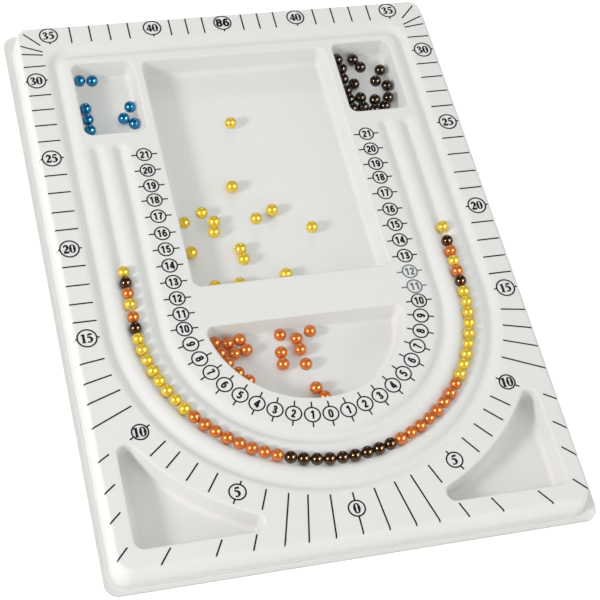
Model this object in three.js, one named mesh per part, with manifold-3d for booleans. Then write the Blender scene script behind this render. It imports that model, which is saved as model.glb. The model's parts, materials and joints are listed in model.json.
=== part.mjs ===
// A board for laying out strings of beads: one tray moulded from thin sheet, with three U-shaped
// grooves and six sunk compartments, and the round beads that lie in it.
// Millimetres, +Z up, +Y towards the board's head. The origin is the middle of the base.
// The grooves and compartments are set out from the middle of the U, which the board group then
// places over the origin.
import * as THREE from 'three';
import { mergeVertices } from 'three/addons/utils/BufferGeometryUtils.js';
import Module from 'manifold-3d';

const wasm = await Module();
wasm.setup();

// Sheet and outer shape
const boardHeight = 14;
const sheet = 1;
const lipWidth = 3.6;
const lipCorner = 6.5;
const skirtLean = 1.9;
const plateCorner = 8;
const shoulder = 1.5;

// Bands of the top plate, each measured across the board
const trayRadius = 48.4;
const innerBand = 18.9;
const groovePitch = 11.3;
const sideBand = 16.5;
const headBand = 17.6;
const footBand = 25.4;
const fieldLength = 161.4;

// Section of the grooves
const grooveDepth = 2.4;
const grooveRoot = 2.9;
const ridgeLand = 0.3;
const runOut = 5;
const runOutGap = 3.7;
const borderCorner = 8;
// Along the run-out at each end of an open groove, and the share of the full section cut there
const runOutShares = [[0, 0.15], [0.3, 0.7], [1, 1]];

// Compartments
const floorHeight = 2.6;
const mouthRound = 1;
const wallLean = 0.6;
const floorFillet = 3.2;
const trayCorner = 5;
const smallTrayLength = 46.3;
const smallTrayRib = 2.6;
const smallTrayRim = 0.95;
const longTrayRise = 16.65;
const longTrayDrop = 1.7;
const halfRoundDrop = 3.4;
const cornerTrayBand = 17.1;
const cornerTrayMargin = 7.9;
const sharpestCorner = 0.5;

// Beads
const beadDiameter = 5.7;
const beadBore = 1.2;
const beadGap = 0.1;
const beadSeat = 0.2;
const rowShift = 2.2;
const strayGap = 2.5;
const leadGap = 1.2;
const leadCount = 4;
const endGroup = ['yellow', 'brown', 'orange', 'yellow', 'orange', 'brown'];
const nearRun = 8;
const farRun = 9;
const orangeRun = 8;
const middleRun = 9;
// Stock beads: place up the long tray, bearings in the half-round one, and the turn between bores
const stockYellow = 58.9;
const stockOrange = [-63, 2];
const stockTurn = 0.7;

// Fineness of the round shapes
const cornerSteps = 4;
const curveSteps = 24;
const humpSteps = 3;
const rootSteps = 2;
const beadSides = 10;
const beadSteps = 5;
const cutPast = 1;
const weld = 1e-4;
const bend = Math.SQRT1_2;

// Sizes that follow from the ones above
const beadRadius = beadDiameter / 2;
const innerRadius = trayRadius + innerBand;
const rowRadius = innerRadius + groovePitch;
const borderRadius = rowRadius + groovePitch;
const grooveHalf = (groovePitch - ridgeLand) / 2;
const grooveAngle = 2 * Math.atan(grooveDepth / grooveHalf);
const humpRadius = grooveHalf / Math.sin(grooveAngle) - grooveRoot;
const plateHalf = borderRadius + sideBand;
const plateHead = fieldLength + headBand;
const plateFoot = borderRadius + footBand;
const plateLength = plateHead + plateFoot;
const plateMiddle = (plateHead - plateFoot) / 2;
const smallTrayTop = fieldLength - grooveHalf - smallTrayRim;
const smallTrayInner = trayRadius + smallTrayRib;
const smallTrayOuter = borderRadius - grooveHalf - smallTrayRim;
const longTrayTop = smallTrayTop - longTrayDrop;
const grooveEnd = smallTrayTop - smallTrayLength - runOutGap;

const point = (x, y) => new THREE.Vector2(x, y);

// Points on an arc, both ends included; a falling angle runs clockwise.
function arc(x, y, radius, from, to, steps) {
  return Array.from({ length: steps + 1 }, (_, step) => {
    const angle = from + ((to - from) * step) / steps;
    return point(x + radius * Math.cos(angle), y + radius * Math.sin(angle));
  });
}

// Each outline is a function of its inset, anticlockwise and with a fixed number of points.
function roundedRectangle(x, y, width, length, corner) {
  return (inset) => {
    const radius = Math.max(corner - inset, sharpestCorner);
    const reachX = width / 2 - inset - radius;
    const reachY = length / 2 - inset - radius;
    return [[1, 1], [-1, 1], [-1, -1], [1, -1]].flatMap(([sideX, sideY], turn) => {
      const start = (turn * Math.PI) / 2;
      return arc(x + sideX * reachX, y + sideY * reachY, radius, start, start + Math.PI / 2, cornerSteps);
    });
  };
}

// The half-round compartment: an arc about the middle of the U, cut off straight below it.
function halfRound(inset) {
  const corner = Math.max(trayCorner - inset, sharpestCorner);
  const radius = trayRadius - inset;
  const y = -halfRoundDrop - inset - corner;
  const x = Math.sqrt((radius - corner) ** 2 - y ** 2);
  const turn = Math.atan2(y, x);
  return [
    ...arc(x, y, corner, turn, Math.PI / 2, cornerSteps),
    ...arc(-x, y, corner, Math.PI / 2, Math.PI - turn, cornerSteps),
    ...arc(0, 0, radius, Math.PI - turn, 2 * Math.PI + turn, curveSteps).slice(1, -1),
  ];
}

// The compartment in the right-hand foot corner: two straight sides and a hollow curve about the U.
function rightCornerTray(inset) {
  const corner = Math.max(trayCorner - inset, sharpestCorner);
  const hollow = borderRadius + cornerTrayBand + inset;
  const right = plateHalf - cornerTrayMargin - inset - corner;
  const foot = -plateFoot + cornerTrayMargin + inset + corner;
  const left = Math.sqrt((hollow + corner) ** 2 - foot ** 2);
  const head = -Math.sqrt((hollow + corner) ** 2 - right ** 2);
  const headTurn = Math.atan2(head, right);
  const leftTurn = Math.atan2(foot, left);
  return [
    ...arc(left, foot, corner, leftTurn + Math.PI, 1.5 * Math.PI, cornerSteps),
    ...arc(right, foot, corner, 1.5 * Math.PI, 2 * Math.PI, cornerSteps),
    ...arc(right, head, corner, 0, headTurn + Math.PI, cornerSteps),
    ...arc(0, 0, hollow, headTurn, leftTurn, 2 * cornerSteps).slice(1, -1),
  ];
}

function leftCornerTray(inset) {
  return rightCornerTray(inset).map((corner) => point(-corner.x, corner.y)).reverse();
}

// A closed surface over a row of rings with equal numbers of points. The flat outlines close the two
// ends; without them the last ring joins the first.
function skin(rings, firstFlat, lastFlat) {
  const size = rings[0].length;
  const faces = [];
  const joins = firstFlat ? rings.length - 1 : rings.length;
  for (let level = 0; level < joins; level += 1) {
    const above = (level + 1) % rings.length;
    for (let side = 0; side < size; side += 1) {
      const next = (side + 1) % size;
      const low = level * size;
      const high = above * size;
      faces.push(low + side, low + next, high + next, low + side, high + next, high + side);
    }
  }
  if (firstFlat) {
    const top = (rings.length - 1) * size;
    const first = THREE.ShapeUtils.triangulateShape(firstFlat, []);
    const last = THREE.ShapeUtils.triangulateShape(lastFlat, []);
    first.forEach(([a, b, c]) => faces.push(a, c, b));
    last.forEach(([a, b, c]) => faces.push(top + a, top + b, top + c));
  }
  const geometry = new THREE.BufferGeometry().setFromPoints(rings.flat());
  geometry.setIndex(faces);
  return geometry;
}

// A solid through level outlines, given as [outline, inset, height] from the lowest up.
function loft(levels) {
  const flats = levels.map(([outline, inset]) => outline(inset));
  const rings = flats.map((flat, level) => flat.map(({ x, y }) => new THREE.Vector3(x, y, levels[level][2])));
  return skin(rings, flats[0], flats[flats.length - 1]);
}

function solid(geometry) {
  const bare = geometry.clone();
  bare.deleteAttribute('normal');
  bare.deleteAttribute('uv');
  const merged = mergeVertices(bare, weld);
  return new wasm.Manifold(new wasm.Mesh({
    numProp: 3,
    vertProperties: new Float32Array(merged.attributes.position.array),
    triVerts: new Uint32Array(merged.index.array),
  }));
}

function surface(body) {
  const { vertProperties, triVerts } = body.getMesh();
  const geometry = new THREE.BufferGeometry();
  geometry.setAttribute('position', new THREE.BufferAttribute(vertProperties, 3));
  geometry.setIndex(new THREE.BufferAttribute(triVerts, 1));
  geometry.computeVertexNormals();
  return geometry;
}

// The hollow of one compartment. Grown by the sheet, it is the outside of the same wall.
function compartment(outline, grow) {
  const foot = mouthRound + wallLean;
  const levels = [
    [foot + floorFillet, floorHeight],
    [foot + floorFillet * (1 - bend), floorHeight + floorFillet * (1 - bend)],
    [foot, floorHeight + floorFillet],
    [mouthRound, boardHeight - mouthRound],
    [mouthRound * bend, boardHeight - mouthRound * (1 - bend)],
    [0, boardHeight],
    [0, boardHeight + cutPast],
  ];
  return solid(loft(levels.map(([inset, height]) => [outline, inset - grow, height - grow])));
}

// Across a groove: two rounded humps run into a round root. Heights are below the plate.
function grooveSection(grow, share) {
  const root = [];
  for (let step = 0; step <= rootSteps; step += 1) {
    const angle = (grooveAngle * step) / rootSteps;
    const radius = grooveRoot + grow;
    root.push(point(radius * Math.sin(angle), grooveRoot - grooveDepth - radius * Math.cos(angle)));
  }
  for (let step = humpSteps - 1; step >= 0; step -= 1) {
    const angle = (grooveAngle * step) / humpSteps;
    const radius = humpRadius - grow;
    root.push(point(grooveHalf - radius * Math.sin(angle), radius * Math.cos(angle) - humpRadius));
  }
  const half = root.map(({ x, y }) => point(x * share, (y + grow) * share - grow));
  const mirrored = half.slice(1).reverse().map(({ x, y }) => point(-x, y));
  const edge = grooveHalf * share;
  return [...mirrored, ...half, point(edge, cutPast - grow), point(-edge, cutPast - grow)];
}

// Stations along a groove: place, heading and the share of the full section that is cut there.
function station(x, y, heading, share = 1) {
  return { x, y, heading, share };
}

function bendStations(radius) {
  return Array.from({ length: curveSteps + 1 }, (_, step) => {
    const turn = (Math.PI * step) / curveSteps;
    return station(-radius * Math.cos(turn), -radius * Math.sin(turn), turn - Math.PI / 2);
  });
}

function openGroove(radius) {
  const ramp = runOutShares.map(([along, share]) => [grooveEnd - along * runOut, share]);
  const down = ramp.map(([y, share]) => station(-radius, y, -Math.PI / 2, share));
  const up = ramp.map(([y, share]) => station(radius, y, Math.PI / 2, share));
  return { closed: false, stations: [...down, ...bendStations(radius), ...up.reverse()] };
}

function borderGroove(radius) {
  const reach = radius - borderCorner;
  const corners = [[reach, 0], [-reach, Math.PI / 2]].flatMap(([x, start]) => (
    Array.from({ length: cornerSteps + 1 }, (_, step) => {
      const turn = start + (Math.PI / 2) * (step / cornerSteps);
      const y = fieldLength - borderCorner + borderCorner * Math.sin(turn);
      return station(x + borderCorner * Math.cos(turn), y, turn + Math.PI / 2);
    })
  ));
  return { closed: true, stations: [...bendStations(radius), ...corners] };
}

function grooveHollow({ closed, stations }, grow) {
  const flats = stations.map(({ share }) => grooveSection(grow, share));
  const rings = stations.map(({ x, y, heading }, index) => flats[index].map((across) => new THREE.Vector3(
    x - across.x * Math.sin(heading),
    y + across.x * Math.cos(heading),
    boardHeight + across.y,
  )));
  return solid(closed ? skin(rings) : skin(rings, flats[0], flats[flats.length - 1]));
}

// The tray: the outer form less the hollows from above, and less the space under the sheet.
function trayGeometry() {
  const skirtWidth = 2 * (plateHalf + skirtLean);
  const skirtLength = plateLength + 2 * skirtLean;
  const lipSpan = skirtWidth + 2 * lipWidth;
  const lipLength = skirtLength + 2 * lipWidth;
  const skirt = roundedRectangle(0, plateMiddle, skirtWidth, skirtLength, plateCorner);
  const lip = roundedRectangle(0, plateMiddle, lipSpan, lipLength, lipCorner);
  const outside = solid(loft([
    [lip, 0, 0],
    [lip, 0, sheet],
    [skirt, 0, sheet],
    [skirt, skirtLean, boardHeight - shoulder],
    [skirt, skirtLean + shoulder * (1 - bend), boardHeight - shoulder * (1 - bend)],
    [skirt, skirtLean + shoulder, boardHeight],
  ]));
  const inside = solid(loft([
    [skirt, sheet, -cutPast],
    [skirt, sheet, sheet],
    [skirt, skirtLean + sheet, boardHeight - shoulder],
    [skirt, skirtLean + Math.max(shoulder, sheet), boardHeight - sheet],
  ]));

  const smallX = (smallTrayInner + smallTrayOuter) / 2;
  const smallY = smallTrayTop - smallTrayLength / 2;
  const smallWidth = smallTrayOuter - smallTrayInner;
  const longY = (longTrayTop + longTrayRise) / 2;
  const longTrayLength = longTrayTop - longTrayRise;
  const outlines = [
    roundedRectangle(-smallX, smallY, smallWidth, smallTrayLength, trayCorner),
    roundedRectangle(smallX, smallY, smallWidth, smallTrayLength, trayCorner),
    roundedRectangle(0, longY, 2 * trayRadius, longTrayLength, trayCorner),
    halfRound,
    leftCornerTray,
    rightCornerTray,
  ];
  const grooves = [openGroove(innerRadius), openGroove(rowRadius), borderGroove(borderRadius)];
  const hollows = (grow) => [
    ...outlines.map((outline) => compartment(outline, grow)),
    ...grooves.map((groove) => grooveHollow(groove, grow)),
  ];
  const under = hollows(sheet).reduce((space, wall) => space.subtract(wall), inside);
  const cut = hollows(0).reduce((form, hollow) => form.subtract(hollow), outside);
  return surface(cut.subtract(under));
}

// A round bead with a bore along its Y axis.
function beadGeometry() {
  const bore = beadBore / 2;
  const edge = Math.acos(bore / beadRadius);
  const profile = arc(0, 0, beadRadius, -edge, edge, beadSteps);
  return new THREE.LatheGeometry([...profile, profile[0].clone()], beadSides);
}

const trayMaterial = new THREE.MeshStandardMaterial({ color: 0xe4e2dc, roughness: 0.6, metalness: 0 });
const beadMaterials = {
  blue: new THREE.MeshStandardMaterial({ color: 0x12405c, roughness: 0.25, metalness: 0.3 }),
  yellow: new THREE.MeshStandardMaterial({ color: 0xd9a21c, roughness: 0.25, metalness: 0.3 }),
  orange: new THREE.MeshStandardMaterial({ color: 0xb8440f, roughness: 0.25, metalness: 0.3 }),
  brown: new THREE.MeshStandardMaterial({ color: 0x2a1710, roughness: 0.25, metalness: 0.3 }),
};

const board = new THREE.Group();
board.position.y = -plateMiddle;

const tray = new THREE.Mesh(trayGeometry(), trayMaterial);
tray.name = 'tray';
board.add(tray);

const beadShape = beadGeometry();

function addBead(name, colour, x, y, z, heading) {
  const bead = new THREE.Mesh(beadShape, beadMaterials[colour]);
  bead.name = name;
  bead.position.set(x, y, z);
  bead.rotation.z = heading;
  board.add(bead);
}

// The row in the middle groove, evenly spaced along the U from its left end. Each bead rests
// between the two humps, with its bore along the groove. The first few stand a little off the rest,
// and the last one has rolled away.
const rowRuns = [
  [nearRun, 'yellow'],
  [orangeRun, 'orange'],
  [middleRun, 'brown'],
  [orangeRun, 'orange'],
  [farRun, 'yellow'],
];
const rowMiddle = rowRuns.flatMap(([count, colour]) => Array(count).fill(colour));
const rowColours = [...endGroup, ...rowMiddle, ...endGroup.toReversed()];
const rowReach = humpRadius + beadRadius + beadSeat;
const rowHeight = boardHeight - humpRadius + Math.sqrt(rowReach ** 2 - grooveHalf ** 2);
const quarter = (rowRadius * Math.PI) / 2;

rowColours.forEach((colour, index) => {
  const name = `row_bead_${String(index + 1).padStart(2, '0')}`;
  const lead = index < leadCount ? leadGap : 0;
  const stray = index === rowColours.length - 1 ? strayGap : 0;
  const along = rowShift + (index - (rowColours.length - 1) / 2) * (beadDiameter + beadGap) + stray - lead;
  const turn = THREE.MathUtils.clamp(along, -quarter, quarter) / rowRadius;
  const straight = Math.max(Math.abs(along) - quarter, 0);
  const x = rowRadius * Math.sin(turn);
  const y = straight - rowRadius * Math.cos(turn);
  addBead(name, colour, x, y, rowHeight, turn - Math.PI / 2);
});

// Beads of the stock in the compartments, each on the floor close to the wall that stops it.
const floorRest = floorHeight + beadSeat + beadRadius;
const wallRest = mouthRound + wallLean + Math.max(floorFillet, beadRadius) + beadSeat;
const headRest = smallTrayTop - wallRest;
const sideRest = wallRest - trayRadius;
const curveRest = trayRadius - wallRest;
const stock = [
  ['blue', 'blue', wallRest - smallTrayOuter, headRest],
  ['brown', 'brown', smallTrayInner + wallRest, headRest],
  ['yellow', 'yellow', sideRest, stockYellow],
  ...stockOrange.map((bearing, index) => {
    const angle = THREE.MathUtils.degToRad(bearing);
    return [`orange_${index + 1}`, 'orange', curveRest * Math.sin(angle), -curveRest * Math.cos(angle)];
  }),
];
stock.forEach(([label, colour, x, y], index) => {
  addBead(`stock_bead_${label}`, colour, x, y, floorRest, index * stockTurn);
});

export default board;
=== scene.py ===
import json
import math
import random

import bmesh
import bpy
from mathutils import Euler, Matrix, Vector
from mathutils.bvhtree import BVHTree


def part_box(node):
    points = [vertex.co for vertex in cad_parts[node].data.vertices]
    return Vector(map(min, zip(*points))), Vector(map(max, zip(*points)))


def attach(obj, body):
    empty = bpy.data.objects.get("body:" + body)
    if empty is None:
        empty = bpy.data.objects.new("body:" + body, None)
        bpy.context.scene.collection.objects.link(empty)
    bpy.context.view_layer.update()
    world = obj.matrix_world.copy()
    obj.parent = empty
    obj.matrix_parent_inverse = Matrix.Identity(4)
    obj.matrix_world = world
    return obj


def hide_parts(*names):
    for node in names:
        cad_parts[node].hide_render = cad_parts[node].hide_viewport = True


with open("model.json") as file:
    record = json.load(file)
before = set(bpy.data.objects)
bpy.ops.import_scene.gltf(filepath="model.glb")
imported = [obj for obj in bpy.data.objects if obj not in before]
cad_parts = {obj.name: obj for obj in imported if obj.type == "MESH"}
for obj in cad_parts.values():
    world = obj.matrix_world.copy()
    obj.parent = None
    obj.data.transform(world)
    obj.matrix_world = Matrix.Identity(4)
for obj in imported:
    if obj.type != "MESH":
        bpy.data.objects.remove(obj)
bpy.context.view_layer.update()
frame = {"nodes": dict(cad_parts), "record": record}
mm = 0.001
seam = 0.001  # points nearer than this many millimetres count as one
print("frame loaded:", len(frame["nodes"]), "nodes")


# Shader maths

class Wire:
    # one output socket; expressions on wires add Math nodes
    def __init__(self, finish, socket):
        self.finish = finish
        self.socket = socket

    def maths(self, operation, first, second):
        return self.finish.node("ShaderNodeMath", {"operation": operation}, {0: first, 1: second})

    def __add__(self, other):
        return self.maths("ADD", self, other)

    def __radd__(self, other):
        return self.maths("ADD", other, self)

    def __sub__(self, other):
        return self.maths("SUBTRACT", self, other)

    def __mul__(self, other):
        return self.maths("MULTIPLY", self, other)


class Finish:
    # one material with its Principled shader; node() makes and links everything else
    def __init__(self, name, **constants):
        self.material = bpy.data.materials.new(name)
        self.material.use_nodes = True
        self.tree = self.material.node_tree
        self.tree.nodes.clear()
        self.shader = self.tree.nodes.new("ShaderNodeBsdfPrincipled")
        output = self.tree.nodes.new("ShaderNodeOutputMaterial")
        self.tree.links.new(self.shader.outputs["BSDF"], output.inputs["Surface"])
        for socket, value in constants.items():
            self.shader.inputs[socket].default_value = value

    def node(self, kind, settings=None, inputs=None, output=0):
        made = self.tree.nodes.new(kind)
        for name, value in (settings or {}).items():
            if name == "stops":
                self.setStops(made.color_ramp, value)
            else:
                setattr(made, name, value)
        for name, value in (inputs or {}).items():
            self.feed(made.inputs[name], value)
        return Wire(self, made.outputs[output])

    def setStops(self, ramp, stops):
        while len(ramp.elements) < len(stops):
            ramp.elements.new(1.0)
        for element, (place, colour) in zip(ramp.elements, stops):
            element.position = place
            element.color = colour

    def feed(self, socket, value):
        if isinstance(value, Wire):
            self.tree.links.new(value.socket, socket)
        else:
            socket.default_value = value

    def surface(self, **inputs):
        for name, value in inputs.items():
            self.feed(self.shader.inputs[name.replace("_", " ")], value)

    def place(self):
        return self.node("ShaderNodeTexCoord", output="Object")

    def noise(self, scale, detail=3.0, roughness=0.55):
        inputs = {"Vector": self.place(), "Scale": scale, "Detail": detail, "Roughness": roughness}
        return self.node("ShaderNodeTexNoise", {}, inputs, "Fac")

    def ramp(self, value, stops):
        return self.node("ShaderNodeValToRGB", {"stops": stops}, {"Fac": value}, "Color")

    def mottle(self, value, colour, spread):
        # one colour in two strengths, from (place on the ramp, strength) pairs
        return self.ramp(value, [(place, shade(colour, strength)) for place, strength in spread])

    def bump(self, height, strength, distance):
        inputs = {"Height": height, "Strength": strength, "Distance": distance}
        return self.node("ShaderNodeBump", {}, inputs, "Normal")


def shade(colour, factor):
    return tuple(channel * factor for channel in colour) + (1.0,)


# Camera and set

cameraPlan = {
    "place": (-195.25, -407.6, 655.1), "turn": (32.566, -8.970, -13.455),
    "lens": 99.86, "sensor": 36.0, "near": 10.0, "image": 600,
}

cameraData = bpy.data.cameras.new("camera")
cameraData.lens = cameraPlan["lens"]
cameraData.sensor_width = cameraPlan["sensor"]
cameraData.clip_start = cameraPlan["near"] * mm
camera = bpy.data.objects.new("camera", cameraData)
camera.location = Vector(cameraPlan["place"]) * mm
camera.rotation_euler = [math.radians(angle) for angle in cameraPlan["turn"]]
bpy.context.scene.collection.objects.link(camera)
bpy.context.scene.camera = camera


def underPixel(pixel, height):
    # where the view through a pixel of the 600 pixel frame meets a level plane, in millimetres
    half = cameraPlan["image"] / 2
    span = cameraData.sensor_width / cameraData.lens / cameraPlan["image"]
    ray = Vector(((pixel[0] - half) * span, (half - pixel[1]) * span, -1.0))
    ray.rotate(camera.rotation_euler)
    start = Vector(cameraPlan["place"])
    return start + ray * ((height - start.z) / ray.z)


setPlan = {
    "view": "Standard",
    "sky": (0.955, 1.0, 1.0), "skyStrength": 0.735, "skyInGloss": 0.09,
    "floorSize": 8.0, "floorColour": (0.36, 0.36, 0.36), "floorGlow": 2.2, "floorRough": 0.9,
    "floorCloud": 3.0, "floorMottle": ((0.3, 0.99), (0.7, 1.0)),
}
lampPlan = {  # the side a lamp stands on, how far away and how wide in metres, its power and its colour
    "keyLamp": {"from": (-0.834, -0.255, 0.490), "away": 1.5, "size": 0.3,
                "watts": 10.6, "colour": (1, 0.93, 0.96)},
    "frontLamp": {"from": (0.445, -0.765, 0.465), "away": 1.0, "size": 0.25,
                  "watts": 0.7, "colour": (1, 0.96, 0.95)},
    "rightLamp": {"from": (0.906, 0.0, 0.423), "away": 1.5, "size": 0.3,
                  "watts": 1.4, "colour": (1, 0.98, 0.98)},
    "backLamp": {"from": (0.150, 0.860, 0.488), "away": 1.5, "size": 0.35,
                 "watts": 2.2, "colour": (1, 0.94, 0.88)},
}
glintPlan = {  # seen only in gloss
    "softBox": {"from": (0.543, -0.424, 0.724), "away": 1.5, "size": 0.75,
                "watts": 24.0, "colour": (1, 0.94, 0.86)},
    "keyGlint": {"from": (-0.80, -0.20, 0.57), "away": 1.3, "size": 0.3,
                 "watts": 8.0, "colour": (1, 0.95, 0.88)},
}

bpy.context.scene.view_settings.view_transform = setPlan["view"]
world = bpy.data.worlds.new("studio")
world.use_nodes = True
skyNodes, skyLinks = world.node_tree.nodes, world.node_tree.links
sky = skyNodes["Background"]
sky.inputs["Color"].default_value = setPlan["sky"] + (1.0,)
rays = skyNodes.new("ShaderNodeLightPath")
firstGloss = skyNodes.new("ShaderNodeMath")  # 1 where gloss shows the sky before any soft bounce
firstGloss.operation = "SUBTRACT"
skyLevel = skyNodes.new("ShaderNodeMapRange")
skyLevel.inputs["To Min"].default_value = setPlan["skyStrength"]
skyLevel.inputs["To Max"].default_value = setPlan["skyInGloss"]
skyLinks.new(rays.outputs["Is Glossy Ray"], firstGloss.inputs[0])
skyLinks.new(rays.outputs["Diffuse Depth"], firstGloss.inputs[1])
skyLinks.new(firstGloss.outputs[0], skyLevel.inputs["Value"])
skyLinks.new(skyLevel.outputs["Result"], sky.inputs["Strength"])
bpy.context.scene.world = world

for lampName, plan in (lampPlan | glintPlan).items():
    lamp = bpy.data.lights.new(lampName, "AREA")
    lamp.shape = "DISK"
    lamp.size = plan["size"]
    lamp.energy = plan["watts"]
    lamp.color = plan["colour"]
    holder = bpy.data.objects.new(lampName, lamp)
    direction = Vector(plan["from"]).normalized()
    holder.location = direction * plan["away"]
    holder.rotation_euler = direction.to_track_quat("Z", "Y").to_euler()
    holder.visible_diffuse = lampName in lampPlan
    bpy.context.scene.collection.objects.link(holder)


def meshObject(name, bm, material, smooth=True):
    mesh = bpy.data.meshes.new(name)
    bm.to_mesh(mesh)
    bm.free()
    mesh.materials.append(material)
    mesh.polygons.foreach_set("use_smooth", [smooth] * len(mesh.polygons))
    made = bpy.data.objects.new(name, mesh)
    bpy.context.scene.collection.objects.link(made)
    return made


def addMesh(bm, mesh):
    # copies a mesh in and gives back the vertices it brought
    before = len(bm.verts)
    bm.from_mesh(mesh)
    bm.verts.ensure_lookup_table()
    return bm.verts[before:]


floorFinish = Finish("floorPaper", **{"Roughness": setPlan["floorRough"],
                                      "Emission Strength": setPlan["floorGlow"]})
floorCloud = floorFinish.noise(setPlan["floorCloud"])
floorTone = floorFinish.mottle(floorCloud, setPlan["floorColour"], setPlan["floorMottle"])
floorFinish.surface(Base_Color=floorTone, Emission_Color=floorTone)
floorMesh = bmesh.new()
bmesh.ops.create_grid(floorMesh, x_segments=1, y_segments=1, size=setPlan["floorSize"] / 2)
floor = meshObject("floor", floorMesh, floorFinish.material)
print("camera, lamps and floor made")


# Tray sheet: grooves are swept profiles, compartments are inset outlines, the plate fills between them

trayForm = {  # in millimetres
    "height": 14.0, "sheet": 1.0, "lip": 3.6, "lipCorner": 6.5, "lipFillet": 0.8, "lean": 1.9, "corner": 8.0,
    "shoulder": 1.5, "trayRadius": 48.4, "innerBand": 18.9, "pitch": 11.3, "sideBand": 16.5, "headBand": 17.6,
    "footBand": 25.4, "field": 161.4,
    "grooveDepth": 2.4, "grooveRoot": 2.9, "ridge": 0.3, "borderCorner": 8.0,
    "floor": 2.6, "mouth": 1.0, "wallLean": 1.0, "fillet": 2.8, "trayCorner": 5.0,
    "smallLength": 46.3, "smallRib": 2.6, "smallRim": 0.95, "longRise": 16.65, "longDrop": 1.7,
    "halfDrop": 3.4, "cornerBand": 17.1, "cornerMargin": 7.9, "runOutGap": 3.7,
    "bendSteps": 84, "cornerSteps": 10, "arcSteps": 8, "arcLength": 2.0, "normalWeight": 100,
}
innerRadius = trayForm["trayRadius"] + trayForm["innerBand"]
rowRadius = innerRadius + trayForm["pitch"]
borderRadius = rowRadius + trayForm["pitch"]
grooveHalf = (trayForm["pitch"] - trayForm["ridge"]) / 2
grooveAngle = 2 * math.atan(trayForm["grooveDepth"] / grooveHalf)
humpRadius = grooveHalf / math.sin(grooveAngle) - trayForm["grooveRoot"]
plateHalf = borderRadius + trayForm["sideBand"]
plateHead = trayForm["field"] + trayForm["headBand"]
plateFoot = borderRadius + trayForm["footBand"]
plateMiddle = (plateHead - plateFoot) / 2
smallTop = trayForm["field"] - grooveHalf - trayForm["smallRim"]
smallInner = trayForm["trayRadius"] + trayForm["smallRib"]
smallOuter = borderRadius - grooveHalf - trayForm["smallRim"]
longTop = smallTop - trayForm["longDrop"]
grooveEnd = smallTop - trayForm["smallLength"] - trayForm["runOutGap"]
trayDepth = trayForm["height"] - trayForm["floor"]


def wireOf(vert):
    # every vertex and edge of the wire that a vertex belongs to
    verts, edges, queue = {}, {}, [vert]
    while queue:
        here = queue.pop()
        if here in verts:
            continue
        verts[here] = True
        for edge in here.link_edges:
            edges[edge] = True
            queue.append(edge.other_vert(here))
    return list(verts), list(edges)


def sweep(bm, geom, centre=(0, 0, 0), axis=(0, 0, 1), angle=0.0, steps=1, along=(0, 0, 0)):
    # turns or slides a vertex or a row of edges, and gives back where it ends
    made = bmesh.ops.spin(bm, geom=geom, cent=centre, axis=axis, dvec=along, angle=angle, steps=steps)
    return [item for item in made["geom_last"] if isinstance(item, (bmesh.types.BMVert, bmesh.types.BMEdge))]


def fullTurn(bm, geom, centre, axis, steps):
    bmesh.ops.spin(bm, geom=geom, cent=centre, axis=axis, dvec=(0, 0, 0), angle=2 * math.pi, steps=steps,
                   use_merge=True)


def quarterTurn():
    # the angles through a rounded edge, after its start
    return [math.pi / 2 * share / trayForm["arcSteps"] for share in range(1, trayForm["arcSteps"] + 1)]


def grooveProfile(bm, x, y):
    # across a groove, from crown to crown over the round root
    start = bm.verts.new((x - grooveHalf, y, 0.0))
    across = (0, 1, 0)
    root = (x, y, trayForm["grooveRoot"] - trayForm["grooveDepth"])
    end = sweep(bm, [start], (x - grooveHalf, y, -humpRadius), across, grooveAngle, trayForm["arcSteps"])
    end = sweep(bm, end, root, across, -2 * grooveAngle, trayForm["arcSteps"])
    sweep(bm, end, (x + grooveHalf, y, -humpRadius), across, grooveAngle, trayForm["arcSteps"])
    verts, edges = wireOf(start)
    return verts + edges


def roundEnd(bm, profile, x, y):
    # the groove runs out in half a turn of its own section
    verts = [item for item in profile if isinstance(item, bmesh.types.BMVert) and item.co.x >= x - seam]
    edges = [item for item in profile if isinstance(item, bmesh.types.BMEdge)]
    edges = [edge for edge in edges if all(vert in verts for vert in edge.verts)]
    sweep(bm, verts + edges, (x, y, 0), (0, 0, 1), math.pi, 2 * trayForm["cornerSteps"])


def openGroove(bm, radius):
    top = grooveEnd - grooveHalf
    profile = grooveProfile(bm, -radius, top)
    roundEnd(bm, profile, -radius, top)
    end = sweep(bm, profile, along=(0, -top, 0))
    end = sweep(bm, end, angle=math.pi, steps=trayForm["bendSteps"])
    end = sweep(bm, end, along=(0, top, 0))
    roundEnd(bm, end, radius, top)


def borderGroove(bm, radius):
    bend = trayForm["borderCorner"]
    top = trayForm["field"] - bend
    profile = grooveProfile(bm, -radius, top)
    end = sweep(bm, profile, along=(0, -top, 0))
    end = sweep(bm, end, angle=math.pi, steps=trayForm["bendSteps"])
    end = sweep(bm, end, along=(0, top, 0))
    end = sweep(bm, end, (radius - bend, top, 0), angle=math.pi / 2, steps=trayForm["cornerSteps"])
    end = sweep(bm, end, along=(2 * (bend - radius), 0, 0))
    sweep(bm, end, (bend - radius, top, 0), angle=math.pi / 2, steps=trayForm["cornerSteps"])


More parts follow.
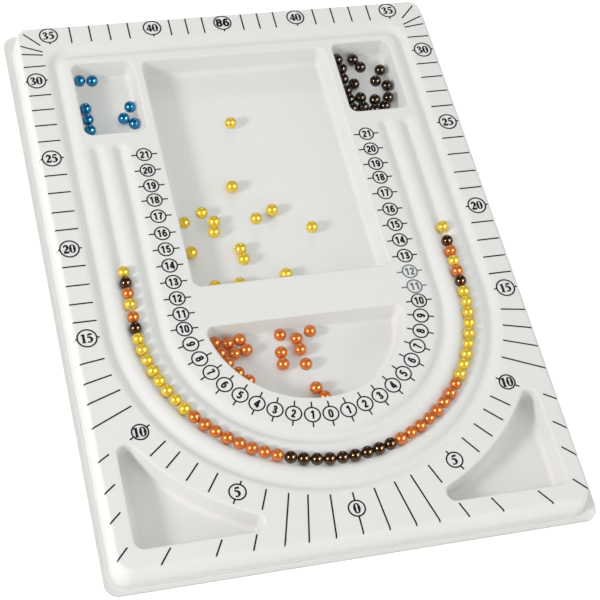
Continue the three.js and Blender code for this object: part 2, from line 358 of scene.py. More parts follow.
def outlineFace(bm, arcs, level=0.0):
    # arcs as (x, y, radius, start, turn) in degrees, joined by straight edges into one face
    ends = []
    for x, y, radius, start, turn in arcs:
        at = math.radians(start)
        first = bm.verts.new((x + radius * math.cos(at), y + radius * math.sin(at), level))
        steps = max(trayForm["cornerSteps"], round(abs(math.radians(turn)) * radius / trayForm["arcLength"]))
        last = sweep(bm, [first], (x, y, level), angle=math.radians(turn), steps=steps)[0]
        ends.append((first, last))
    for (_, last), (first, _) in zip(ends, ends[1:] + ends[:1]):
        if (last.co - first.co).length < seam:
            bmesh.ops.weld_verts(bm, targetmap={last: first})
        else:
            bm.edges.new((last, first))
    face = bmesh.ops.contextual_create(bm, geom=wireOf(ends[0][0])[1])["faces"][0]
    face.normal_update()
    if face.normal.z < 0:
        face.normal_flip()
    return face


def roundedBox(left, right, foot, head, corner):
    places = [(right - corner, head - corner, 0), (left + corner, head - corner, 90),
              (left + corner, foot + corner, 180), (right - corner, foot + corner, 270)]
    return [(x, y, corner, start, 90) for x, y, start in places]


def step(bm, face, path):
    # path of (inset, rise), each from the outline where the face began
    before = (0.0, 0.0)
    for inset, rise in path:
        bmesh.ops.inset_individual(bm, faces=[face], thickness=inset - before[0], depth=rise - before[1],
                                   use_even_offset=True)
        before = (inset, rise)


def compartment(bm, arcs):
    face = outlineFace(bm, arcs)
    mouth, fillet = trayForm["mouth"], trayForm["fillet"]
    foot = mouth + trayForm["wallLean"]
    turns = quarterTurn()
    path = [(mouth * math.sin(turn), mouth * (math.cos(turn) - 1)) for turn in turns]
    path.append((foot, fillet - trayDepth))
    path += [(foot + fillet * (1 - math.cos(turn)), fillet * (1 - math.sin(turn)) - trayDepth)
             for turn in turns]
    step(bm, face, path)


def halfRoundArcs():
    corner, radius = trayForm["trayCorner"], trayForm["trayRadius"]
    y = -trayForm["halfDrop"] - corner
    x = math.sqrt((radius - corner) ** 2 - y ** 2)
    turn = math.degrees(math.atan2(y, x))
    return [(x, y, corner, turn, 90 - turn), (-x, y, corner, 90, 90 - turn),
            (0, 0, radius, 180 - turn, 180 + 2 * turn)]


def cornerTrayArcs():
    corner = trayForm["trayCorner"]
    hollow = borderRadius + trayForm["cornerBand"]
    right = plateHalf - trayForm["cornerMargin"] - corner
    foot = trayForm["cornerMargin"] + corner - plateFoot
    left = math.sqrt((hollow + corner) ** 2 - foot ** 2)
    head = -math.sqrt((hollow + corner) ** 2 - right ** 2)
    headTurn = math.degrees(math.atan2(head, right))
    leftTurn = math.degrees(math.atan2(foot, left))
    return [(left, foot, corner, leftTurn + 180, 90 - leftTurn), (right, foot, corner, 270, 90),
            (right, head, corner, 0, headTurn + 180), (0, 0, hollow, headTurn, leftTurn - headTurn)]


def insideBorder(point):
    if point.y > 0:
        return abs(point.x) < borderRadius and point.y < trayForm["field"]
    return math.hypot(point.x, point.y) < borderRadius


def outerForm(bm):
    # lip, skirt and shoulder, up to the edge of the plate
    sheetTop = trayForm["sheet"] - trayForm["height"]
    half = plateHalf + trayForm["lean"]
    foot, head = -plateFoot - trayForm["lean"], plateHead + trayForm["lean"]
    lip, fillet, shoulder = trayForm["lip"], trayForm["lipFillet"], trayForm["shoulder"]
    lipLine = roundedBox(-half - lip, half + lip, foot - lip, head + lip, trayForm["lipCorner"])
    wide = trayForm["corner"] + fillet
    skirtLine = roundedBox(-half - fillet, half + fillet, foot - fillet, head + fillet, wide)
    edge = outlineFace(bm, lipLine, sheetTop)
    skirt = outlineFace(bm, skirtLine, sheetTop)
    rim = [line for face in (edge, skirt) for line in face.edges]
    bmesh.ops.delete(bm, geom=[edge], context="FACES_ONLY")
    height = trayForm["height"] - trayForm["sheet"]
    turns = quarterTurn()
    path = [(fillet * math.sin(turn), fillet * (1 - math.cos(turn))) for turn in turns]
    wallHead = fillet + trayForm["lean"]
    path.append((wallHead, height - shoulder))
    path += [(wallHead + shoulder * (1 - math.cos(turn)), height - shoulder * (1 - math.sin(turn)))
             for turn in turns]
    step(bm, skirt, path)
    bmesh.ops.delete(bm, geom=[skirt], context="FACES_ONLY")
    bmesh.ops.bridge_loops(bm, edges=rim)


def traySheet():
    bm = bmesh.new()
    openGroove(bm, innerRadius)
    openGroove(bm, rowRadius)
    borderGroove(bm, borderRadius)
    corner, half = trayForm["trayCorner"], trayForm["trayRadius"]
    for side in (-1, 1):
        edges = sorted((side * smallInner, side * smallOuter))
        compartment(bm, roundedBox(*edges, smallTop - trayForm["smallLength"], smallTop, corner))
    compartment(bm, roundedBox(-half, half, trayForm["longRise"], longTop, corner))
    compartment(bm, halfRoundArcs())
    before = len(bm.faces)
    compartment(bm, cornerTrayArcs())
    bm.faces.ensure_lookup_table()
    fresh = bm.faces[before:]
    rightTray = list(dict.fromkeys(item for face in fresh for item in (*face.verts, *face.edges, face)))
    bmesh.ops.mirror(bm, geom=rightTray, matrix=Matrix.Identity(4), merge_dist=seam, axis="X")
    outerForm(bm)
    bmesh.ops.remove_doubles(bm, verts=bm.verts, dist=seam)
    level = [edge for edge in bm.edges
             if edge.is_boundary and all(abs(vert.co.z) < seam for vert in edge.verts)]
    for inside in (False, True):
        rim = [edge for edge in level if insideBorder((edge.verts[0].co + edge.verts[1].co) / 2) == inside]
        bmesh.ops.triangle_fill(bm, edges=rim, use_beauty=True, normal=(0, 0, 1))
    bmesh.ops.recalc_face_normals(bm, faces=bm.faces)
    bm.faces.ensure_lookup_table()
    plate = max(bm.faces, key=lambda face: face.calc_area())
    if plate.normal.z < 0:
        bmesh.ops.reverse_faces(bm, faces=bm.faces)
    bmesh.ops.translate(bm, verts=bm.verts, vec=(0, -plateMiddle, trayForm["height"]))
    bmesh.ops.scale(bm, verts=bm.verts, vec=(mm, mm, mm))
    return bm


sheetLook = {
    "colour": (0.745, 0.740, 0.715), "mottle": ((0.3, 0.985), (0.7, 1.01)),
    "rough": 0.58, "roughSpread": 0.12, "ior": 1.5, "specular": 0.06, "cloud": 18.0, "cloudShare": 0.7,
    "grain": 1600.0, "grainDetail": 2.0, "grainShare": 0.3, "bump": 0.12, "bumpDepth": 0.05,
}
sheetFinish = Finish("traySheet", **{"IOR": sheetLook["ior"], "Specular IOR Level": sheetLook["specular"]})
cloud = sheetFinish.noise(sheetLook["cloud"])
grain = sheetFinish.noise(sheetLook["grain"], sheetLook["grainDetail"])
sheetCloud = cloud * sheetLook["cloudShare"] + grain * sheetLook["grainShare"]
sheetFinish.surface(Base_Color=sheetFinish.mottle(sheetCloud, sheetLook["colour"], sheetLook["mottle"]),
                    Roughness=sheetLook["rough"] + (grain - 0.5) * sheetLook["roughSpread"],
                    Normal=sheetFinish.bump(grain, sheetLook["bump"], sheetLook["bumpDepth"] * mm))

sheetMesh = traySheet()
sheetTree = BVHTree.FromBMesh(sheetMesh)
tray = meshObject("traySheet", sheetMesh, sheetFinish.material)
sheetBack = tray.modifiers.new("sheet", "SOLIDIFY")
sheetBack.thickness = trayForm["sheet"] * mm
sheetBack.offset = -1.0
sheetBack.use_even_offset = True
evenNormals = tray.modifiers.new("evenNormals", "WEIGHTED_NORMAL")
evenNormals.weight = trayForm["normalWeight"]
evenNormals.keep_sharp = True
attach(tray, "tray")
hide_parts("tray")
print("tray sheet made:", len(tray.data.polygons), "faces")


# Print: a scale round the edge and one along the inner groove, in dark ink a hair proud of the sheet

inkForm = {
    "shift": -0.45, "proud": 0.07, "film": 0.05, "tick": 0.70, "stub": 0.66, "edgeGap": 0.2,
    "ringSteps": 40, "lineStep": 0.5, "strokeSides": 1, "strokeSteps": 6, "dropFrom": 1000.0,
}
outerPlan = {
    "ring": 9.5, "bendRing": 8.1, "line": 0.7, "height": 4.9,
    "side": {30: 145.3, 25: 97.7, 20: 45.5, 15: -2.8}, "sideRow": 100.3, "sideNub": 1.0,
    "head": {35: 89.3, 40: 37.8}, "headRow": 173.4, "headShift": -0.8, "fortyShift": 1.1,
    "headMiddle": "86", "middleTall": 1.1, "middleWide": 1.17,
    "bend": {10: 58.4, 5: 29.6}, "bendRow": 100.4, "bendNub": (1.5, 1.9),
    "zeroRow": 103.1, "start": 95.4, "short": 105.5,
    "sideTicks": (5.9, 15.5, 25.4, 35.7, 56.3, 66.4, 77.5, 87.7, 108.0, 117.7, 127.2, 136.2, 154.3),
    "sideSpan": (94.5, 105.8), "leftTrim": 0.55,
    "headTicks": (10.3, 18.9, 27.5, 48.85, 58.7, 68.5, 78.4), "headSpan": (167.6, 178.1),
    "bendTicks": (6.0, 11.9, 16.9, 65.6, 71.2, 76.2, 81.5), "shortTicks": (22.8, 36.0, 41.8, 47.4, 52.2),
    "pastSide": (58.7, 53.1, 48.6, 43.8), "pastSideSpan": (100.6, 106.3),
    "pastFoot": (37.5, 29.4, 22.9), "pastFootSpan": (107.9, 114.9),
    "fans": (((94.7, 161.2), (105.5, 162.6)), ((94.6, 163.2), (105.4, 167.9)),
             ((95.0, 167.4), (103.0, 175.4))),
}
innerPlan = {
    "ring": 7.8, "line": 0.66, "height": 4.2, "row": 56.25, "span": (49.8, 62.5),
    "bendPitch": 8.6, "bendLast": 9,
    "side": (-4.1, 3.9, 12.4, 21.4, 30.5, 39.6, 48.7, 58.5, 67.9, 76.3, 85.5, 94.9),  # numbers 10 to 21
}
# Figures as pen strokes on a unit height: across, up and, where it swells, half width; True closes a stroke
serifFace = {"pitch": 0.64, "weight": 1.4, "strokes": {
    "0": [([(0.33, 0.965, 0.035), (0.125, 0.5, 0.1), (0.33, 0.035, 0.035), (0.535, 0.5, 0.1)], True)],
    "1": [([(0.36, 0.98, 0.09), (0.36, 0.02, 0.09)], False),
          ([(0.36, 0.95, 0.045), (0.12, 0.83, 0.03)], False),
          ([(0.14, 0.025, 0.03), (0.58, 0.025, 0.03)], False)],
    "2": [([(0.09, 0.70, 0.05), (0.29, 0.93, 0.07), (0.48, 0.70, 0.095), (0.32, 0.38, 0.06),
            (0.08, 0.10, 0.04)], False),
          ([(0.07, 0.085, 0.085), (0.57, 0.085, 0.085)], False),
          ([(0.55, 0.10, 0.06), (0.61, 0.27, 0.025)], False)],
    "3": [([(0.09, 0.77, 0.045), (0.28, 0.94, 0.06), (0.44, 0.76, 0.09), (0.22, 0.535, 0.03)], False),
          ([(0.22, 0.535, 0.035), (0.49, 0.29, 0.1), (0.26, 0.035, 0.035), (0.09, 0.10, 0.07)], False)],
    "4": [([(0.44, 0.99, 0.08), (0.44, 0.01, 0.085)], False),
          ([(0.42, 0.96, 0.035), (0.06, 0.31, 0.035)], False),
          ([(0.03, 0.29, 0.06), (0.64, 0.29, 0.06)], False)],
    "5": [([(0.19, 0.91, 0.075), (0.58, 0.93, 0.075)], False),
          ([(0.20, 0.95, 0.03), (0.12, 0.56, 0.03)], False),
          ([(0.11, 0.56, 0.03), (0.30, 0.60, 0.07), (0.50, 0.34, 0.1), (0.31, 0.05, 0.045),
            (0.09, 0.09, 0.065)], False)],
}}
plainFace = {"pitch": 0.60, "weight": 0.108, "strokes": {
    "0": [([(0.26, 0.915), (0.085, 0.5), (0.26, 0.085), (0.435, 0.5)], True)],
    "1": [([(0.31, 1.0), (0.31, 0.0)], False), ([(0.31, 0.93), (0.09, 0.74)], False)],
    "2": [([(0.085, 0.70), (0.26, 0.915), (0.435, 0.70), (0.28, 0.38), (0.09, 0.12)], False),
          ([(0.03, 0.085), (0.48, 0.085)], False)],
    "3": [([(0.085, 0.74), (0.25, 0.915), (0.41, 0.73), (0.20, 0.53)], False),
          ([(0.20, 0.53), (0.435, 0.29), (0.25, 0.085), (0.08, 0.26)], False)],
    "4": [([(0.36, 1.0), (0.36, 0.0)], False), ([(0.36, 0.94), (0.04, 0.30)], False),
          ([(0.0, 0.27), (0.52, 0.27)], False)],
    "5": [([(0.12, 0.915), (0.46, 0.915)], False), ([(0.15, 0.95), (0.10, 0.50)], False),
          ([(0.10, 0.50), (0.27, 0.60), (0.435, 0.33), (0.26, 0.085), (0.08, 0.24)], False)],
    "6": [([(0.26, 0.58), (0.085, 0.33), (0.26, 0.085), (0.435, 0.33)], True),
          ([(0.42, 0.77), (0.27, 0.915), (0.11, 0.64), (0.085, 0.36)], False)],
    "7": [([(0.04, 0.915), (0.48, 0.915)], False), ([(0.44, 0.90), (0.28, 0.52), (0.20, 0.0)], False)],
    "8": [([(0.26, 0.915), (0.105, 0.73), (0.26, 0.535), (0.415, 0.73)], True),
          ([(0.26, 0.535), (0.085, 0.31), (0.26, 0.085), (0.435, 0.31)], True)],
    "9": [([(0.26, 0.42), (0.435, 0.67), (0.26, 0.915), (0.085, 0.67)], True),
          ([(0.10, 0.23), (0.25, 0.085), (0.41, 0.36), (0.435, 0.64)], False)],
}}


def curveMesh(curve):
    holder = bpy.data.objects.new("numeral", curve)
    bpy.context.scene.collection.objects.link(holder)
    mesh = bpy.data.meshes.new_from_object(holder.evaluated_get(bpy.context.evaluated_depsgraph_get()))
    bpy.data.objects.remove(holder)
    return mesh


def numeralMesh(text, face):
    # each stroke is a tube along its points, pressed flat when it is placed
    curve = bpy.data.curves.new("numeral", "CURVE")
    curve.dimensions = "3D"
    curve.bevel_depth = 1.0
    curve.bevel_resolution = inkForm["strokeSides"]
    curve.resolution_u = inkForm["strokeSteps"]
    curve.use_fill_caps = True
    for order, digit in enumerate(text):
        for points, closed in face["strokes"][digit]:
            spline = curve.splines.new("BEZIER")
            spline.bezier_points.add(len(points) - 1)
            spline.use_cyclic_u = closed
            for knot, (across, up, *half) in zip(spline.bezier_points, points):
                knot.co = (across + order * face["pitch"], up, 0)
                knot.radius = face["weight"] * (half[0] if half else 1.0)
                knot.handle_left_type = knot.handle_right_type = "AUTO"
    return curveMesh(curve)


def addNumeral(bm, text, x, y, height, face, turn=0.0, widen=1.0):
    mesh = numeralMesh(text, face)
    fresh = addMesh(bm, mesh)
    bpy.data.meshes.remove(mesh)
    low = [min(vert.co[axis] for vert in fresh) for axis in range(3)]
    high = [max(vert.co[axis] for vert in fresh) for axis in range(3)]
    centre = Vector([(a + b) / 2 for a, b in zip(low, high)])
    tall, thick = high[1] - low[1], high[2] - low[2]
    size = Matrix.Diagonal((widen * height / tall, height / tall, inkForm["film"] / thick, 1))
    place = Matrix.Translation((x, y, 0)) @ Matrix.Rotation(turn, 4, "Z") @ size @ Matrix.Translation(-centre)
    bmesh.ops.transform(bm, matrix=place, verts=fresh)


def addRing(bm, x, y, across, line):
    outer = bm.verts.new((x + across / 2, y, 0))
    inner = bm.verts.new((x + across / 2 - line, y, 0))
    edge = bm.edges.new((inner, outer))
    fullTurn(bm, [inner, outer, edge], (x, y, 0), (0, 0, 1), inkForm["ringSteps"])


def addLine(bm, start, end, width):
    start, end = Vector(start).to_3d(), Vector(end).to_3d()
    along = end - start
    turn = math.atan2(along.y, along.x)
    place = Matrix.Translation((start + end) / 2) @ Matrix.Rotation(turn, 4, "Z")
    place = place @ Matrix.Diagonal((along.length / 2, width / 2, 1, 1))
    steps = max(1, round(along.length / inkForm["lineStep"]))
    bmesh.ops.create_grid(bm, x_segments=steps, y_segments=1, size=1.0, matrix=place)


def fromBearing(degrees, radius):
    # a point by its bearing from straight down, about the middle of the bend
    turn = math.radians(degrees)
    return Vector((radius * math.sin(turn), -radius * math.cos(turn)))


def radialLine(bm, degrees, start, end, width):
    addLine(bm, fromBearing(degrees, start), fromBearing(degrees, end), width)


cornerBearing = math.degrees(math.atan2(plateHalf, plateFoot))


def toEdge(degrees):
    # how far a line may reach on a bearing, up to the side or the foot of the plate
    turn = math.radians(degrees)
    reach = plateHalf / math.sin(turn) if degrees > cornerBearing else plateFoot / math.cos(turn)
    return reach - inkForm["edgeGap"]


def headPlaces(plan):
    # number and place along the head, where the print sits a little to the left
    yield plan["headMiddle"], plan["headShift"]
    for number, x in plan["head"].items():
        shift = plan["headShift"] + (plan["fortyShift"] if number == 40 else 0.0)
        for side in (-1, 1):
            yield str(number), side * x + shift


def outerLines(bm, plan):
    half, bendHalf = plan["ring"] / 2, plan["bendRing"] / 2
    tick, line, shift = inkForm["tick"], plan["line"], plan["headShift"]
    for _, x in headPlaces(plan):
        addRing(bm, x, plan["headRow"], plan["ring"], line)
        foot = plan["headRow"] - half
        addLine(bm, (x, foot), (x, foot - plan["sideNub"]), tick)
    for side in (-1, 1):
        trim = plan["leftTrim"] if side < 0 else 0.0
        for y in plan["side"].values():
            x, nub = side * plan["sideRow"], plan["sideNub"]
            addRing(bm, x, y, plan["ring"], line)
            for end in (-1, 1):
                addLine(bm, (x + end * half, y), (x + end * (half + nub), y), tick)
        for y in plan["sideTicks"]:
            addLine(bm, (side * plan["sideSpan"][0], y), (side * (plan["sideSpan"][1] - trim), y), tick)
        near, far = plan["headSpan"]
        for x in plan["headTicks"]:
            addLine(bm, (side * x + shift, near), (side * x + shift, far), tick)
        for start, end in plan["fans"]:
            addLine(bm, (side * start[0], start[1]), (side * (end[0] - trim), end[1]), tick)
        for bearing in plan["bend"].values():
            x, y = fromBearing(side * bearing, plan["bendRow"])
            addRing(bm, x, y, plan["bendRing"], line)
            near, far = plan["bendRow"] - bendHalf, plan["bendRow"] + bendHalf
            radialLine(bm, side * bearing, near - plan["bendNub"][0], near, tick)
            radialLine(bm, side * bearing, far, far + plan["bendNub"][1], tick)
        for bearing in plan["bendTicks"]:
            end = toEdge(bearing) - (trim if bearing > cornerBearing else 0.0)
            radialLine(bm, side * bearing, plan["start"], end, tick)
        for bearing in plan["shortTicks"]:
            radialLine(bm, side * bearing, plan["start"], plan["short"], tick)
        for bearing in plan["pastSide"]:
            slope = math.sin(math.radians(bearing))
            near, far = plan["pastSideSpan"]
            radialLine(bm, side * bearing, near / slope, (far - trim) / slope, tick)
        for bearing in plan["pastFoot"]:
            slope = math.cos(math.radians(bearing))
            near, far = plan["pastFootSpan"]
            radialLine(bm, side * bearing, near / slope, far / slope, tick)
    addRing(bm, 0, -plan["zeroRow"], plan["bendRing"], line)
    radialLine(bm, 0, plan["start"], plan["zeroRow"] - bendHalf, tick)
    radialLine(bm, 0, plan["zeroRow"] + bendHalf, toEdge(0), tick)


def outerNumerals(bm, plan):
    height = plan["height"]
    for side in (-1, 1):
        for number, y in plan["side"].items():
            addNumeral(bm, str(number), side * plan["sideRow"], y, height, serifFace)
        for number, bearing in plan["bend"].items():
            addNumeral(bm, str(number), *fromBearing(side * bearing, plan["bendRow"]), height, serifFace)
    for text, x in headPlaces(plan):
        if text == plan["headMiddle"]:
            tall = plan["middleTall"] * height
            addNumeral(bm, text, x, plan["headRow"], tall, plainFace, widen=plan["middleWide"])
        else:
            addNumeral(bm, text, x, plan["headRow"], height, serifFace)
    addNumeral(bm, "0", 0, -plan["zeroRow"], height, serifFace)


def innerPlaces(plan):
    # number, middle of its ring, direction of its stubs, and turn of its figure
    for side in (-1, 1):
        for number, y in enumerate(plan["side"], plan["bendLast"] + 1):
            yield number, Vector((side * plan["row"], y)), Vector((side, 0)), 0.0
        for number in range(1, plan["bendLast"] + 1):
            bearing = side * number * plan["bendPitch"]
            outward = fromBearing(bearing, 1.0)
            yield number, outward * plan["row"], outward, math.radians(bearing)
    yield 0, Vector((0, -plan["row"])), Vector((0, -1)), 0.0


def innerLines(bm, plan):
    half = plan["ring"] / 2
    near, far = (edge - plan["row"] for edge in plan["span"])
    for _, centre, outward, _ in innerPlaces(plan):
        addRing(bm, *centre, plan["ring"], plan["line"])
        addLine(bm, centre + outward * near, centre - outward * half, inkForm["stub"])
        addLine(bm, centre + outward * half, centre + outward * far, inkForm["stub"])


def innerNumerals(bm, plan):
    for number, centre, _, turn in innerPlaces(plan):
        addNumeral(bm, str(number), *centre, plan["height"], plainFace, turn)


inkLook = {
    "colour": (0.009, 0.015, 0.016), "pale": (0.16, 0.19, 0.20),
    "ramp": (("colour", 0.1, 0.9), ("pale", 0.9, 1.0)),  # which, its place on the ramp and its strength
    "specular": 0.1, "rough": 0.42, "roughSpread": 0.2, "cloud": 900.0, "cloudShare": 0.2,
    # painted highlight: round this point the ink is drawn paler, a soft painted glint over the figures there
    "paintedGlint": (56.2, -23.8, 14.0), "paintedGlintFrom": 10.2, "paintedGlintFull": 7.65, "paintedGlintShare": 0.75,
}
inkFinish = Finish("scaleInk", **{"Specular IOR Level": inkLook["specular"]})
inkCloud = inkFinish.noise(inkLook["cloud"])
# painted glint: the ink fades towards its pale colour nearer the spot's middle
paintedGlintDistance = inkFinish.node("ShaderNodeVectorMath", {"operation": "DISTANCE"},
                          {0: inkFinish.place(), 1: tuple(Vector(inkLook["paintedGlint"]) * mm)}, "Value")
paintedGlint = inkFinish.node("ShaderNodeMapRange", {"clamp": True},
                      {"Value": paintedGlintDistance, "From Min": inkLook["paintedGlintFrom"] * mm,
                       "From Max": inkLook["paintedGlintFull"] * mm, "To Min": 0.0, "To Max": inkLook["paintedGlintShare"]})
inkStops = [(place, shade(inkLook[tone], strength)) for tone, place, strength in inkLook["ramp"]]
inkFinish.surface(Base_Color=inkFinish.ramp(inkCloud * inkLook["cloudShare"] + paintedGlint, inkStops),
                  Roughness=inkLook["rough"] + inkCloud * inkLook["roughSpread"])


def printPiece(name, draw, plan, flat):
    bm = bmesh.new()
    draw(bm, plan)
    level = trayForm["height"] + inkForm["proud"]
    bmesh.ops.translate(bm, verts=bm.verts, vec=(inkForm["shift"], -plateMiddle, level))
    bmesh.ops.scale(bm, verts=bm.verts, vec=(mm, mm, mm))
    if flat:  # lines follow the sheet, also over its rounded edge
        for vert in bm.verts:
            above = Vector((vert.co.x, vert.co.y, inkForm["dropFrom"] * mm))
            place, normal, _, _ = sheetTree.ray_cast(above, Vector((0, 0, -1)))
            vert.co = place + normal * inkForm["proud"] * mm
        bmesh.ops.recalc_face_normals(bm, faces=bm.faces)
        downward = [face for face in bm.faces if face.normal.z < 0]
        bmesh.ops.reverse_faces(bm, faces=downward)
    made = meshObject(name, bm, inkFinish.material, smooth=False)
    if flat:
        film = made.modifiers.new("film", "SOLIDIFY")
        film.thickness = inkForm["film"] * mm
        film.offset = -1.0
    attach(made, "tray")


printPiece("outerScaleLines", outerLines, outerPlan, True)
printPiece("outerScaleNumerals", outerNumerals, outerPlan, False)
printPiece("innerScaleLines", innerLines, innerPlan, True)
printPiece("innerScaleNumerals", innerNumerals, innerPlan, False)
print("scales printed")


# Beads

beadForm = {
    "diameter": 5.78, "loose": 5.95, "bore": 1.2, "rim": 0.16, "around": 28, "along": 14,
    "gap": 0.04, "wallGap": 0.05, "headings": (0.7, 2.1), "tilts": (-0.5, 0.5), "seed": 7, "rounds": 200,
}
floorRest = trayForm["floor"] + beadForm["loose"] / 2  # the middle of a bead on a compartment's floor
wallRest = trayForm["mouth"] + trayForm["wallLean"] + beadForm["loose"] / 2 + beadForm["wallGap"]
beadLooks = {  # body colour, colour towards the edge, roughness under the gloss, how metallic, and the gloss
    "bead_blue": {"colour": (0.013, 0.215, 0.46), "edge": (0.3, 0.4, 0.5),
                  "rough": 0.28, "metal": 0.8, "coat": 1.0},
    "bead_yellow": {"colour": (0.90, 0.63, 0.072), "edge": (0.4, 0.3, 0.1),
                    "rough": 0.32, "metal": 0.45, "coat": 0.6},
    "bead_orange": {"colour": (0.76, 0.22, 0.050), "edge": (0.4, 0.2, 0.1),
                    "rough": 0.30, "metal": 0.5, "coat": 0.6},
    "bead_brown": {"colour": (0.100, 0.044, 0.012), "edge": (0.3, 0.2, 0.1),
                   "rough": 0.26, "metal": 0.9, "coat": 1.0},
    # painted shade: a darker copy of the brown finish for the beads lying in their deep compartment
    "shaded_stock_brown": {"colour": (0.044, 0.028, 0.016), "edge": (0.3, 0.2, 0.2),
                    "rough": 0.26, "metal": 0.9, "coat": 1.0},
}
pearlGloss = {"Coat Roughness": 0.03, "Coat IOR": 1.5}
pearlGrain = {
    "swirl": 420.0, "swirlShare": 0.8, "speck": 2600.0, "speckDetail": 2.0, "speckShare": 0.2,
    "mottle": ((0.25, 0.8), (0.75, 1.12)), "roughSpread": 0.12,
}


def pearlFinish(name, look):
    finish = Finish(name, **pearlGloss, **{"Metallic": look["metal"], "Coat Weight": look["coat"],
                                           "Specular Tint": look["edge"] + (1.0,)})
    swirl = finish.noise(pearlGrain["swirl"])
    speck = finish.noise(pearlGrain["speck"], pearlGrain["speckDetail"])
    cloud = swirl * pearlGrain["swirlShare"] + speck * pearlGrain["speckShare"]
    finish.surface(Base_Color=finish.mottle(cloud, look["colour"], pearlGrain["mottle"]),
                   Roughness=look["rough"] + (speck - 0.5) * pearlGrain["roughSpread"])
    return finish.material


pearls = {name: pearlFinish(name, look) for name, look in beadLooks.items()}


def pearlMesh():
    # a section from rim to rim and back along the bore, spun once round the bore
    bm = bmesh.new()
    radius, bore, rim = beadForm["diameter"] / 2, beadForm["bore"] / 2, beadForm["rim"]
    reach = math.acos((bore + rim) / radius)
    first = bm.verts.new((radius * math.cos(reach), -radius * math.sin(reach), 0))
    last = sweep(bm, [first], angle=2 * reach, steps=beadForm["along"])[0]
    inset = radius * math.sin(reach) - rim
    inner = [bm.verts.new((bore, side * inset, 0)) for side in (1, -1)]
    for pair in ((last, inner[0]), inner, (inner[1], first)):
        bm.edges.new(pair)
    verts, edges = wireOf(first)
    fullTurn(bm, verts + edges, (0, 0, 0), (0, 1, 0), beadForm["around"])
    bmesh.ops.remove_doubles(bm, verts=bm.verts, dist=seam)
    bmesh.ops.recalc_face_normals(bm, faces=bm.faces)
    mesh = bpy.data.meshes.new("pearl")
    bm.to_mesh(mesh)
    bm.free()
    return mesh


pearl = pearlMesh()


def pearlPiece(name, look, places, airy):
    # one piece of beads with one finish; past an airy one the sky's soft light still reaches the sheet
    bm = bmesh.new()
    for place in places:
        bmesh.ops.transform(bm, matrix=place, verts=addMesh(bm, pearl))
    made = meshObject(name, bm, pearls[look])
    made.visible_diffuse = not airy
    return made


def beadPlace(centre, turn, wide):
    size = Matrix.Scale(mm * wide / beadForm["diameter"], 4)
    return Matrix.Translation(centre) @ turn.to_matrix().to_4x4() @ size


def stockLook(slot):
    # brown beads in their compartment take a darker copy of the brown finish: painted shade for the deep
    # compartment
    return "shaded_stock_brown" if slot == "bead_brown" else slot


slots = {part["node"]: part["material_slot"] for part in frame["record"]["subparts"]}
beadNodes = sorted(node for node in frame["nodes"] if node != "tray")
dice = random.Random(beadForm["seed"])
stockBeads = []
for index, node in enumerate(beadNodes):
    low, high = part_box(node)
    centre = (low + high) / 2
    x, y = centre.x, centre.y + plateMiddle * mm
    heading = math.atan2(y, x) if y < 0 else 0.0  # the bore lies along the groove
    look, wide = slots[node], beadForm["diameter"]
    if node.startswith("stock"):
        centre.z = floorRest * mm
        stockBeads.append(centre / mm)
        heading = dice.uniform(*beadForm["headings"])
        look, wide = stockLook(look), beadForm["loose"]
    turn = Euler((0, dice.uniform(0, math.tau), heading)).to_quaternion()
    piece = pearlPiece(node + "_pearl", look, [beadPlace(centre, turn, wide)], index % 2 == 0)
    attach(piece, node)
    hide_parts(node)
print("beads on their joints:", len(beadNodes))

loosePixels = {  # beads in the compartments, by their middles in the 600 pixel view
    "bead_blue": [(92, 81), (85, 109), (87, 120), (90, 130.5), (130, 107), (125, 119), (135, 123)],
    "bead_yellow": [(230.5, 123), (232, 186.5), (201.5, 213), (214, 222), (214, 232), (272, 210),
                    (256, 218.5), (240.5, 249), (244, 259), (286, 274), (216, 290), (241, 288),
                    (312, 227), (191, 252.5)],
    "bead_orange": [(214, 342), (227, 345), (234, 338.5), (241, 347), (219, 351), (233, 354), (237, 375),
                    (248, 381), (280, 335), (296.5, 339), (281, 352.6), (283, 364), (309.6, 330), (300, 349),
                    (306, 364), (317, 388.6)],
    "bead_brown": [(341.5, 69), (353, 60), (360, 67), (380, 70), (375.5, 81), (387, 85.5), (343, 80),
                   (351, 85), (346, 91), (349, 100), (357, 99), (362, 107), (375, 100), (388, 98),
                   (385, 105), (372, 109), (354, 106)],
}
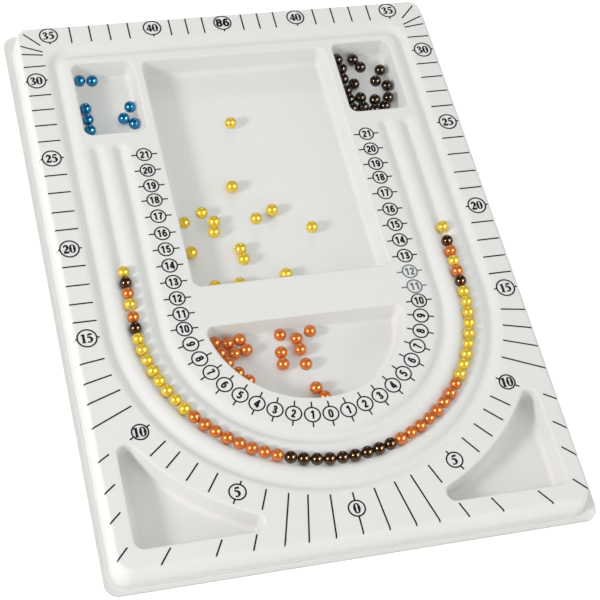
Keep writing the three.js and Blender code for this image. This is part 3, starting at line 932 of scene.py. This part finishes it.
compartments = {  # left, right, foot and head of each compartment's mouth
    "bead_blue": (-smallOuter, -smallInner, smallTop - trayForm["smallLength"], smallTop),
    "bead_brown": (smallInner, smallOuter, smallTop - trayForm["smallLength"], smallTop),
    "bead_yellow": (-trayForm["trayRadius"], trayForm["trayRadius"], trayForm["longRise"], longTop),
    "bead_orange": (-trayForm["trayRadius"], trayForm["trayRadius"],
                    -trayForm["trayRadius"], -trayForm["halfDrop"]),
}


def keptIn(place, slot):
    # no nearer to the edge of the mouth than the wall lets a bead lie
    left, right, foot, head = compartments[slot]
    place.x = min(max(place.x, left + wallRest), right - wallRest)
    place.y = min(max(place.y, foot + wallRest - plateMiddle), head - wallRest - plateMiddle)
    if slot == "bead_orange":  # the half-round one
        reach = trayForm["trayRadius"] - wallRest
        out = Vector((place.x, place.y + plateMiddle))
        if out.length > reach:
            out = out.normalized() * reach
            place.x, place.y = out.x, out.y - plateMiddle


def parting(place, other):
    # how far a bead has to move to lie clear of another
    away = (place - other).to_2d()
    short = beadForm["loose"] + beadForm["gap"] - away.length
    return away.normalized() * max(short, 0.0)


def settled(slot, pixels):
    # on the compartment's floor, clear of the walls and of each other
    places = [underPixel(pixel, floorRest) for pixel in pixels]
    for _ in range(beadForm["rounds"]):
        for index, place in enumerate(places):
            for other in places[:index]:
                push = parting(place, other) * 0.5
                place.xy += push
                other.xy -= push
            for fixed in stockBeads:
                place.xy += parting(place, fixed)
        for place in places:
            keptIn(place, slot)
    return places


for slot, pixels in loosePixels.items():
    turns = []
    for _ in pixels:
        tilt, roll = dice.uniform(*beadForm["tilts"]), dice.uniform(0, math.tau)
        turns.append(Euler((tilt, roll, dice.uniform(*beadForm["headings"]))).to_quaternion())
    spots = settled(slot, pixels)
    places = [beadPlace(spot * mm, turn, beadForm["loose"]) for spot, turn in zip(spots, turns)]
    for name, half in (("loose_", places[::2]), ("more_", places[1::2])):
        loose = pearlPiece(name + slot, stockLook(slot), half, name == "loose_")
        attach(loose, "tray")
print("loose beads settled")
